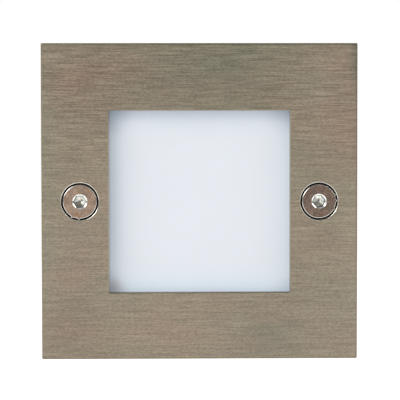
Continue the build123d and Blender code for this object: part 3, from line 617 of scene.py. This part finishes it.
# finish: surface, grain in millimetres, darkest and lightest colour, roughness from and to, bump's depth in
# millimetres, and what else it needs
looks = {
    "foam": (moulded, 0.35, (0.012, 0.012, 0.013), (0.03, 0.03, 0.031), (0.8, 0.95), 0.08,
             {"specular": 0.25}),
    "sealRubber": (moulded, 0.3, (0.012, 0.012, 0.012), (0.024, 0.024, 0.024), (0.45, 0.6), 0.01),
    "silicone": (moulded, 0.5, (0.5, 0.52, 0.54), (0.6, 0.62, 0.64), (0.35, 0.5), 0.01),
    "castAluminium": (grainedMetal, 0.45, (0.34, 0.345, 0.355), (0.48, 0.485, 0.495), (0.4, 0.56), 0.035,
                      {"patch": 7.0, "patchDark": 0.84}),
    "whitePlastic": (moulded, 0.5, (0.82, 0.82, 0.8), (0.9, 0.9, 0.88), (0.35, 0.5), 0.006),
    "whiteBoard": (moulded, 0.6, (0.78, 0.79, 0.77), (0.86, 0.87, 0.85), (0.25, 0.35), 0.003),
    "padBlue": (moulded, 0.3, (0.14, 0.22, 0.36), (0.2, 0.3, 0.46), (0.6, 0.75), 0.02),
    "phosphor": (moulded, 0.2, (0.8, 0.62, 0.12), (0.9, 0.74, 0.2), (0.15, 0.25), 0.004),
    "chipBlack": (moulded, 0.12, (0.015, 0.015, 0.017), (0.035, 0.035, 0.038), (0.5, 0.65), 0.01),
    "zinc": (grainedMetal, 0.4, (0.55, 0.57, 0.6), (0.72, 0.73, 0.75), (0.22, 0.36), 0.003),
    "greenBoard": (moulded, 0.8, (0.012, 0.1, 0.045), (0.02, 0.16, 0.07), (0.25, 0.35), 0.005),
    "sleeve": (moulded, 0.5, (0.01, 0.014, 0.025), (0.018, 0.025, 0.04), (0.2, 0.3), 0.004),
    "ferrite": (moulded, 0.15, (0.03, 0.03, 0.032), (0.06, 0.06, 0.062), (0.5, 0.7), 0.02),
    "fuseBrown": (moulded, 0.4, (0.2, 0.08, 0.02), (0.28, 0.12, 0.035), (0.25, 0.35), 0.004),
    "terminalGreen": (moulded, 0.4, (0.02, 0.16, 0.06), (0.03, 0.22, 0.09), (0.35, 0.5), 0.006),
    "brass": (grainedMetal, 0.3, (0.6, 0.43, 0.16), (0.76, 0.56, 0.24), (0.2, 0.34), 0.004),
    "wireBlack": (moulded, 0.5, (0.01, 0.01, 0.01), (0.02, 0.02, 0.02), (0.35, 0.45), 0.003),
    "wireRed": (moulded, 0.5, (0.42, 0.01, 0.008), (0.55, 0.02, 0.015), (0.35, 0.45), 0.003),
    "nylon": (moulded, 0.2, (0.012, 0.012, 0.012), (0.026, 0.026, 0.026), (0.42, 0.58), 0.012),
    "boxPlastic": (moulded, 0.32, (0.017, 0.018, 0.02), (0.03, 0.032, 0.035), (0.4, 0.56), 0.028,
                   {"patch": 14.0}),
    "canTop": (grainedMetal, 0.3, (0.6, 0.61, 0.62), (0.74, 0.75, 0.76), (0.25, 0.35), 0.003),
    "enamelCopper": (grainedMetal, 0.2, (0.42, 0.14, 0.05), (0.62, 0.24, 0.1), (0.18, 0.3), 0.002),
}


def makeFinish(name, surface, size, dark, light, roughness, bump, more=()):
    return surface(name, {"grain": size, "dark": dark, "light": light, "roughness": roughness, "bump": bump,
                          **dict(more)})


finishes = {name: makeFinish(name, *plan) for name, plan in looks.items()}

# node: finish, record slot, width of the softened edges in millimetres (0 leaves them sharp), and its body
# where that isn't the lamp unit
dressed = {
    "wall_gasket": ("foam", "foam_rubber", 0.25, "face_plate"),
    "left_sealing_washer": ("sealRubber", "seal_rubber", 0.05, "left_washer"),
    "right_sealing_washer": ("sealRubber", "seal_rubber", 0.05, "right_washer"),
    "diffuser_gasket": ("silicone", "silicone", 0.1),
    "lamp_body": ("castAluminium", "cast_aluminium", 0.25),
    "reflector": ("whitePlastic", "white_plastic", 0.1),
    "led_board": ("whiteBoard", "white_board", 0.08),
    "thermal_pad": ("padBlue", "thermal_silicone", 0.1),
    "led_board_resistors": ("chipBlack", "chip_black", 0.06),
    "led_board_screws": ("zinc", "zinc_steel", 0.08),
    "driver_board": ("greenBoard", "green_board", 0.08),
    "driver_board_screws": ("zinc", "zinc_steel", 0.08),
    "choke": ("ferrite", "ferrite", 0.12),
    "bridge_rectifier": ("chipBlack", "chip_black", 0.1),
    "driver_chip": ("chipBlack", "chip_black", 0.08),
    "input_fuse": ("fuseBrown", "fuse_plastic", 0.12),
    "driver_resistors": ("chipBlack", "chip_black", 0.06),
    "terminal_block": ("terminalGreen", "terminal_plastic", 0.12),
    "terminal_clamps": ("brass", "terminal_brass", 0.05),
    "terminal_screws": ("zinc", "zinc_steel", 0.06),
    "led_lead_negative": ("wireBlack", "black_wire", 0.0),
    "led_lead_positive": ("wireRed", "red_wire", 0.0),
    "rear_cover_seal": ("silicone", "silicone", 0.08),
    "rear_cover": ("castAluminium", "cast_aluminium", 0.25),
    "rear_cover_screws": ("zinc", "zinc_steel", 0.1),
    "gland_locknut": ("nylon", "black_nylon", 0.2),
    "gland_seal": ("sealRubber", "seal_rubber", 0.12),
    "gland_pressure_ring": ("nylon", "black_nylon", 0.1, "gland_ring"),
    "wall_box": ("boxPlastic", "box_plastic", 0.25, "wall_box"),
}
dressing = {"joinMm": 0.002, "flatDegrees": 1.0, "smoothDegrees": 30, "softenDegrees": 38, "softenSteps": 2}


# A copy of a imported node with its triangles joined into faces, its edges softened and its curves smooth.
def dressNode(node, finish, slot, soften, body="lamp_unit"):
    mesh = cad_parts[node].data.copy()
    mesh.materials.clear()
    work = bmesh.new()
    work.from_mesh(mesh)
    bmesh.ops.remove_doubles(work, verts=work.verts, dist=dressing["joinMm"] * mm)
    bmesh.ops.dissolve_limit(work, angle_limit=math.radians(dressing["flatDegrees"]), verts=work.verts,
                             edges=work.edges)
    work.to_mesh(mesh)
    work.free()
    mesh.polygons.foreach_set("material_index", np.zeros(len(mesh.polygons), np.int32))
    piece = finishPiece(f"{node}_dressed", mesh, body, [finishes[finish]], [node],
                        dressing["smoothDegrees"])
    if soften:
        bevel = piece.modifiers.new("softened edges", "BEVEL")
        bevel.width = soften * mm
        bevel.segments = dressing["softenSteps"]
        bevel.limit_method = "ANGLE"
        bevel.angle_limit = math.radians(dressing["softenDegrees"])
        bevel.harden_normals = True


for node, plan in dressed.items():
    dressNode(node, *plan)
print("other pieces dressed:", len(dressed))

wallBoxMarks = {
    "half": 35.5, "corner": 4.0, "beadDepth": 56.6, "beadProud": 0.14, "beadWidth": 0.5, "back": 62.0,
    "pinX": 28.5, "pinZ": 9.0, "pinRadius": 1.8, "pinProud": 0.07, "pinSlope": 0.05, "pinWidth": 0.25,
    "hubDepth": 36.0, "hubRadius": 1.3, "hubProud": 0.35, "arrowZ": 27.5, "arrowHalf": 2.4, "arrowProud": 0.3,
    "sunk": 0.1,
}


# Turns points made about the Y axis at the origin to stand on the side of the box in the given direction.
def ontoSide(points, direction, reach, depth):
    x, y, z = points[..., 0], points[..., 1], points[..., 2]
    out = reach + y
    if direction[0]:
        return np.stack([direction[0] * out, depth + x, z], -1)
    return np.stack([x, depth + z, direction[1] * out], -1)


# Mould marks: a parting bead round the box, rings and an up arrow on its back, and hubs in its knock-outs.
def buildBoxMarks(look):
    h, c, y, p, w = (look[k] for k in ("half", "corner", "beadDepth", "beadProud", "beadWidth"))
    sunk = look["sunk"]  # how far each mark starts inside the wall
    bead = [(h - sunk, y), (h, y), (h + p, y + w * 0.3), (h + p, y + w * 0.7), (h, y + w),
            (h - sunk, y + w), (h - sunk, y)]
    parts = [squareSweep([(a, c + a - h, b) for a, b in bead])]
    r, proud, back, k = look["pinRadius"], look["pinProud"], look["back"], look["pinSlope"]
    inner = r - k - look["pinWidth"]
    ring = [(inner - k, back - k), (inner, back + proud), (r - k, back + proud), (r, back - k),
            (inner - k, back - k)]
    places = [(x, z) for z in (look["pinZ"], -look["pinZ"]) for x in (-look["pinX"], look["pinX"])]
    parts += [lathe(ring, place, 48) for place in places]
    r, proud = look["hubRadius"], look["hubProud"]
    dome = [(r * math.cos(a), proud * (0.5 + 0.5 * math.sin(a))) for a in np.linspace(0.25, 1.5, 6)]
    dome = [(r, -sunk), (r, proud * 0.5), *dome, (pole, proud)]
    for direction in ((1, 0), (-1, 0), (0, 1), (0, -1)):
        points, quads = lathe(dome, (0, 0), 40)
        parts.append((ontoSide(points, direction, h, look["hubDepth"]), quads))
    half, top = look["arrowHalf"], look["arrowProud"]
    shape = half * np.array([(0, 1.15), (1, -0.6), (0.36, -0.6), (0.36, -1.6), (-0.36, -1.6), (-0.36, -0.6),
                             (-1, -0.6)])
    rows = [(1.0, -sunk), (1.0, top * 0.6), (0.93, top), (0.6, top), (1e-3, top)]
    points = np.stack([np.insert(shape * s, 1, back + d, axis=1) for s, d in rows]) + [0, 0, look["arrowZ"]]
    parts.append((points, gridQuads(len(rows), len(shape))))
    makePiece("box_mould_marks", parts, "wall_box", [finishes["boxPlastic"]])


buildBoxMarks(wallBoxMarks)
print("wall box marked")

grommetRubber = {
    "profile": [
        (3.3, 58.9), (3.6, 58.5), (9.5, 58.5), (9.85, 58.65), (10.0, 59.0), (10.0, 59.6), (9.8, 59.95),
        (9.5, 60.0), (7.9, 60.0), (7.9, 62.0), (9.5, 62.0), (9.8, 62.05), (10.0, 62.35), (10.0, 63.05),
        (9.85, 63.35), (9.5, 63.5), (8.6, 63.5), (8.4, 63.42), (8.3, 63.1), (7.9, 63.0), (7.5, 63.1),
        (7.4, 63.38), (7.1, 63.46), (6.6, 63.4), (5.2, 63.02), (4.9, 62.98), (4.6, 63.1), (4.45, 63.4),
        (4.2, 63.5), (3.6, 63.5), (3.35, 63.4), (3.3, 63.1), (3.3, 58.9),
    ],
}
makePiece("grommet_rubber", [lathe(grommetRubber["profile"])], "wall_box",
          [finishes["sealRubber"]], ["cable_grommet"], 28)
print("grommet made")

insertBrass = {
    "x": 30.3, "radius": 3.25, "bore": 2.55, "front": 10.8, "back": 18.8, "knurl": 0.24, "ridges": 22,
    "twist": 1.1, "grooveDepth": 0.45, "grooveHalf": 0.45, "plain": 0.4, "rimIn": 0.25, "boreLead": 0.3,
    "boreBreak": 0.2,
}


# Radius of a knurled insert: the root of two crossed sine waves of angle and depth, less a groove half way.
def buildInsert(look, side, x):
    front, back, plain = look["front"], look["back"], look["plain"]
    steps, y = 132, np.linspace(front + plain, back - plain, 49)[:, None]
    turn = fullTurn(steps)
    crossed = np.abs(np.sin(look["ridges"] / 2 * turn + look["twist"] * y)
                     * np.sin(look["ridges"] / 2 * turn - look["twist"] * y))
    groove = np.clip(1.6 - np.abs(y - (front + back) / 2) / look["grooveHalf"], 0, 1)
    radius = look["radius"] - look["knurl"] * (1 - np.sqrt(crossed)) - look["grooveDepth"] * groove
    bore, lead, k = look["bore"], look["boreLead"], look["boreBreak"]
    rim = look["radius"] - look["knurl"] - look["rimIn"]
    near = [(bore, front + lead), (bore + lead, front), (rim, front)]
    far = [(rim, back), (bore + k, back), (bore, back - k), near[0]]
    points = np.concatenate([lathe(near, (x, 0), steps)[0], around(radius, y, turn, (x, 0)),
                             lathe(far, (x, 0), steps)[0]])
    makePiece(f"{side}_insert_brass", [(points, gridQuads(len(points), steps))], "wall_box",
              [finishes["brass"]], [f"{side}_insert"], 40)


for side, sign in (("left", -1), ("right", 1)):
    buildInsert(insertBrass, side, sign * insertBrass["x"])
print("inserts made")

glandNylon = {
    "apothem": 7.5, "corner": 8.25, "chamfer": [(-0.55, 0.0), (0.0, 0.45), (0.75, 0.75)],
    "threadRadius": 5.95, "threadPitch": 1.5, "threadDepth": 0.5, "threadSlope": 2.4, "threadCrest": 0.1,
    "runOut": 0.5, "pitchRows": 10, "bodyFront": 31.0, "hexFront": 37.8, "hexBack": 41.8, "mouth": 47.8,
    "bore": 3.6, "sealBore": 4.85, "sealFloor": 43.1, "capFront": 42.3, "skirtBack": 48.5, "capBack": 52.3,
    "domeRadius": 5.7, "capBore": 6.0, "boreStep": 48.3, "ringBack": 50.6, "domePower": 2.2, "ribs": 24,
    "ribDepth": 0.3, "mouthBreak": 0.25,
}


# Rings of a nut: each is a hexagon cut back to a circle, so that its corners are chamfered near both faces.
def hexRings(look, turn, front, back):
    hexagon = hexRadius(look["apothem"], turn, 0)
    cuts = [(np.minimum(hexagon, look["corner"] + grow), inset) for grow, inset in look["chamfer"]]
    return [(r, front + inset) for r, inset in cuts] + [(r, back - inset) for r, inset in reversed(cuts)]


# Rings of an outside thread: the radius falls by the thread's wave of depth less the turn's share of pitch.
def threadRings(look, turn, front, back):
    rings = []
    for y in np.linspace(front, back, int((back - front) / look["threadPitch"] * look["pitchRows"])):
        wave = threadWave(look, y / look["threadPitch"] - turn / (2 * math.pi))
        ends = max(0.0, min(1.0, (y - front) / look["runOut"], (back - y) / look["runOut"]))
        rings.append((look["threadRadius"] - look["threadDepth"] * wave * ends, y))
    return rings


# The cap's dome narrows as the root of one less a power of its height, and shallow cosine ribs cut into it.
def buildGland(look):
    turn = fullTurn(144)
    body = threadRings(look, turn, look["bodyFront"], look["hexFront"]) \
        + hexRings(look, turn, look["hexFront"], look["hexBack"]) \
        + threadRings(look, turn, look["hexBack"], look["mouth"])
    inside = [("sealBore", "mouth"), ("sealBore", "sealFloor"), ("bore", "sealFloor"), ("bore", "bodyFront"),
              ("threadRadius", "bodyFront")]
    body += [(look[r], look[y]) for r, y in inside]
    makePiece("gland_body_nylon", [ringSurface(body, turn)], "lamp_unit", [finishes["nylon"]],
              ["gland_body"], 32)
    cap = hexRings(look, turn, look["capFront"], look["skirtBack"])
    rise, bow = look["capBack"] - look["skirtBack"], look["apothem"] - look["domeRadius"]
    for t in np.linspace(0.0, 1.0, 15):
        radius = look["domeRadius"] + bow * math.sqrt(1 - t ** look["domePower"])
        cut = look["ribDepth"] * math.sin(math.pi * min(1.0, t * 1.02)) ** 0.5 if 0 < t < 0.98 else 0.0
        ribs = cut * (0.5 - 0.5 * np.cos(look["ribs"] * turn)) ** 0.6
        cap.append((radius - ribs, look["skirtBack"] + rise * t))
    inside = [("bore", "ringBack"), ("sealBore", "ringBack"), ("sealBore", "boreStep"),
              ("capBore", "boreStep"), ("capBore", "capFront")]
    cap.append((look["bore"] + look["mouthBreak"], look["capBack"]))
    cap += [(look[r], look[y]) for r, y in inside]
    cap.append(cap[0])
    makePiece("gland_cap_nylon", [ringSurface(cap, turn)], "gland_nut", [finishes["nylon"]],
              ["gland_cap"], 32)


buildGland(glandNylon)
print("cable gland made")

lightChips = {
    "pitch": 8.5, "rows": 4, "width": 3.5, "height": 2.8, "corner": 0.25, "edge": 0.12, "front": 14.6,
    "seat": 15.4, "lens": 1.12, "lensGap": 0.1, "lensDepth": 0.08, "dome": 0.07,
}


# A light chip: a block of rounded squares, stretched to its width, round a shallow domed lens.
def buildLightChips(look):
    half, grow = look["height"] / 2, look["width"] / look["height"]
    front, lens, rim = look["front"], look["lens"], look["front"] + look["lensDepth"]
    c, e = look["corner"], look["edge"]
    block = [(half, c, look["seat"]), (half, c, front + e), (half - e, 0.8 * c, front),
             (lens + look["lensGap"], lens * 0.98, front), (lens, lens * 0.97, rim)]
    shell, shellQuads = squareSweep(block, 6)
    rings = [(lens * r, rim - look["dome"] * math.cos(r * math.pi / 2)) for r in (1, 0.8, 0.55, 0.3, pole)]
    dome, domeQuads = lathe(rings, (0, 0), 24)
    parts = []
    places = (np.arange(look["rows"]) - (look["rows"] - 1) / 2) * look["pitch"]
    for x in places:
        for z in places:
            for points, quads, finish in ((shell, shellQuads, 0), (dome, domeQuads, 1)):
                parts.append((points * [grow, 1, 1] + [x, 0, z], quads, finish))
    makePiece("light_chips", parts, "lamp_unit",
              [finishes["whitePlastic"], finishes["phosphor"]], ["leds"], 40)


buildLightChips(lightChips)
print("light chips made")

capacitorCan = {
    "place": (9.6, 9.8), "top": 33.1, "plate": 3.15, "sink": 0.12, "score": 0.16, "scoreHalf": 0.16,
    "scoreReach": 2.7,
    "sleeve": [(3.15, 32.98), (3.25, 33.1), (3.7, 33.1), (3.92, 32.95), (4.0, 32.6), (4.0, 26.3),
               (3.9, 26.05), (3.72, 25.85), (3.72, 25.55), (3.9, 25.35), (4.0, 25.1), (4.0, 24.5),
               (3.85, 24.2), (3.5, 24.1), (pole, 24.1)],
}


# The can's top is scored with a cross: its depth is a narrow bell of the distance to the nearer line.
def buildCapacitor(look):
    steps, rows = 96, 14
    turn = fullTurn(steps)
    r = np.linspace(pole, look["plate"], rows)[:, None]
    across = np.minimum(np.abs(r * np.cos(turn)), np.abs(r * np.sin(turn)))
    fade = np.clip((look["scoreReach"] - r) * 3, 0, 1)
    y = look["top"] - look["sink"] - look["score"] * np.exp(-(across / look["scoreHalf"]) ** 2) * fade
    top = around(r, y, turn, look["place"])
    parts = [(top, gridQuads(rows, steps), 1), (*lathe(look["sleeve"], look["place"], steps), 0)]
    makePiece("capacitor_can", parts, "lamp_unit",
              [finishes["sleeve"], finishes["canTop"]], ["smoothing_capacitor"], 30)


buildCapacitor(capacitorCan)

chokeWinding = {
    "place": (-9.2, 9.4), "core": 2.2, "radius": 3.12, "wire": 0.32, "front": 25.05, "back": 29.15,
}


# The winding's radius is a row of rounded wires: a half sine of depth less the turn's share of one wire.
def buildWinding(look):
    steps, rows = 72, 105
    turn = fullTurn(steps)
    y = np.linspace(look["front"], look["back"], rows)[:, None]
    wave = np.abs(np.sin(math.pi * (y / look["wire"] - turn / (2 * math.pi))))
    radius = look["radius"] - look["wire"] / 2 * (1 - wave)
    radius[0] = radius[-1] = look["core"]
    points = around(radius, y, turn, look["place"])
    makePiece("choke_winding", [(points, gridQuads(rows, steps))], "lamp_unit",
              [finishes["enamelCopper"]], (), 60)


buildWinding(chokeWinding)
print("driver parts made")


# places and sizes in metres; a softbox is its place, size, power in watts and colour
studio = {
    "floorDepth": -0.13, "floorSize": 3.0, "floorColour": (0.92, 0.92, 0.92),
    "above": (1.0, 1.01, 1.04), "aheadUp": (0.27, 0.271, 0.27), "aheadDown": (0.68, 0.676, 0.665),
    "behind": (1.0, 1.0, 1.0), "floorGlow": 0.35,
    "softboxes": {"key_softbox": ((-0.735, -0.5, 0.478), (1.25, 0.45), 9.8, (0.97, 0.985, 1.0)),
                  "side_softbox": ((0.7, -0.25, 0.5), (0.35, 0.7), 1.6, (1.0, 1.0, 1.0))},
}


# A level grid of equal squares below the part.
def buildFloor(look):
    half, lines = look["floorSize"] / 2, 13
    u = np.linspace(-half, half, lines)
    x, y = np.meshgrid(u, u, indexing="ij")
    points = np.stack([x, y, np.full_like(x, look["floorDepth"])], -1).reshape(-1, 3)
    mesh = bpy.data.meshes.new("studio_floor")
    mesh.from_pydata(points.tolist(), [], gridQuads(lines, lines, False)[:, ::-1].tolist())
    material, tree, shader, coords = startMaterial("floor_white")
    shade = ramp(tree, grain(tree, coords, 400.0), 0.3, 0.7, 0.97, 1.0)
    tone = blendColour(tree, shade, (0.0,) * 3, look["floorColour"])
    tree.links.new(tone, shader.inputs["Base Color"])
    setInputs(shader, {"Roughness": 0.9, "Emission Color": (*white, 1),
                       "Emission Strength": look["floorGlow"]})
    mesh.materials.append(material)
    floor = bpy.data.objects.new("studio_floor", mesh)
    bpy.context.scene.collection.objects.link(floor)


# The room's light by direction: white behind and above the part, dimmer ahead. The camera sees plain white.
def buildWorld(look):
    world = bpy.data.worlds.new("studio")
    bpy.context.scene.world = world
    world.use_nodes = True
    tree = world.node_tree
    tree.nodes.clear()
    coords = tree.nodes.new("ShaderNodeTexCoord")
    split = tree.nodes.new("ShaderNodeSeparateXYZ")
    tree.links.new(coords.outputs["Generated"], split.inputs[0])
    ahead = blendColour(tree, ramp(tree, split.outputs[2], -0.4, 0.4), look["aheadDown"], look["aheadUp"])
    wall = blendColour(tree, ramp(tree, split.outputs[2], 0.25, 0.85), look["behind"], look["above"])
    room = blendColour(tree, ramp(tree, split.outputs[1], -0.5, 0.0), ahead, wall)
    path = tree.nodes.new("ShaderNodeLightPath")
    seen = blendColour(tree, path.outputs["Is Camera Ray"], room, white)
    background = tree.nodes.new("ShaderNodeBackground")
    tree.links.new(seen, background.inputs["Color"])
    output = tree.nodes.new("ShaderNodeOutputWorld")
    tree.links.new(background.outputs[0], output.inputs[0])


# A flat rectangle of light that looks at the part's middle.
def addSoftbox(name, place, size, power, colour):
    light = bpy.data.lights.new(name, "AREA")
    light.shape = "RECTANGLE"
    light.size, light.size_y = size
    light.energy = power
    light.color = colour
    lamp = bpy.data.objects.new(name, light)
    lamp.location = place
    lamp.rotation_euler = (-Vector(place)).to_track_quat("-Z", "Y").to_euler()
    bpy.context.scene.collection.objects.link(lamp)


# The camera stands back from its aim, turned by the yaw, pitch and roll that fit the plate's corners.
camera = {"aim": (0.108, -4.5, 0.378), "distance": 450.0, "pitch": 2.406, "yaw": -1.14, "roll": -0.071,
          "pixelsPerMm": 3.949, "frame": 400, "sensor": 36.0}


def placeCamera(look):
    pitch, yaw = math.radians(look["pitch"]), math.radians(look["yaw"])
    back = Vector((math.sin(yaw) * math.cos(pitch), -math.cos(yaw) * math.cos(pitch), math.sin(pitch)))
    data = bpy.data.cameras.new("camera")
    data.sensor_width = look["sensor"]
    data.lens = look["sensor"] * look["pixelsPerMm"] * look["distance"] / look["frame"]
    data.clip_start, data.clip_end = 0.01, 20.0
    eye = bpy.data.objects.new("camera", data)
    eye.location = (Vector(look["aim"]) + back * look["distance"]) * mm
    right = Vector((0, 0, 1)).cross(back).normalized()
    up = back.cross(right)
    roll = math.radians(look["roll"])
    right, up = right * math.cos(roll) + up * math.sin(roll), up * math.cos(roll) - right * math.sin(roll)
    eye.rotation_euler = Matrix((right, up, back)).transposed().to_euler()
    bpy.context.scene.collection.objects.link(eye)
    bpy.context.scene.camera = eye


buildFloor(studio)
buildWorld(studio)
for name, plan in studio["softboxes"].items():
    addSoftbox(name, *plan)
placeCamera(camera)
bpy.context.scene.view_settings.view_transform = "Standard"
print("floor, light and camera set")
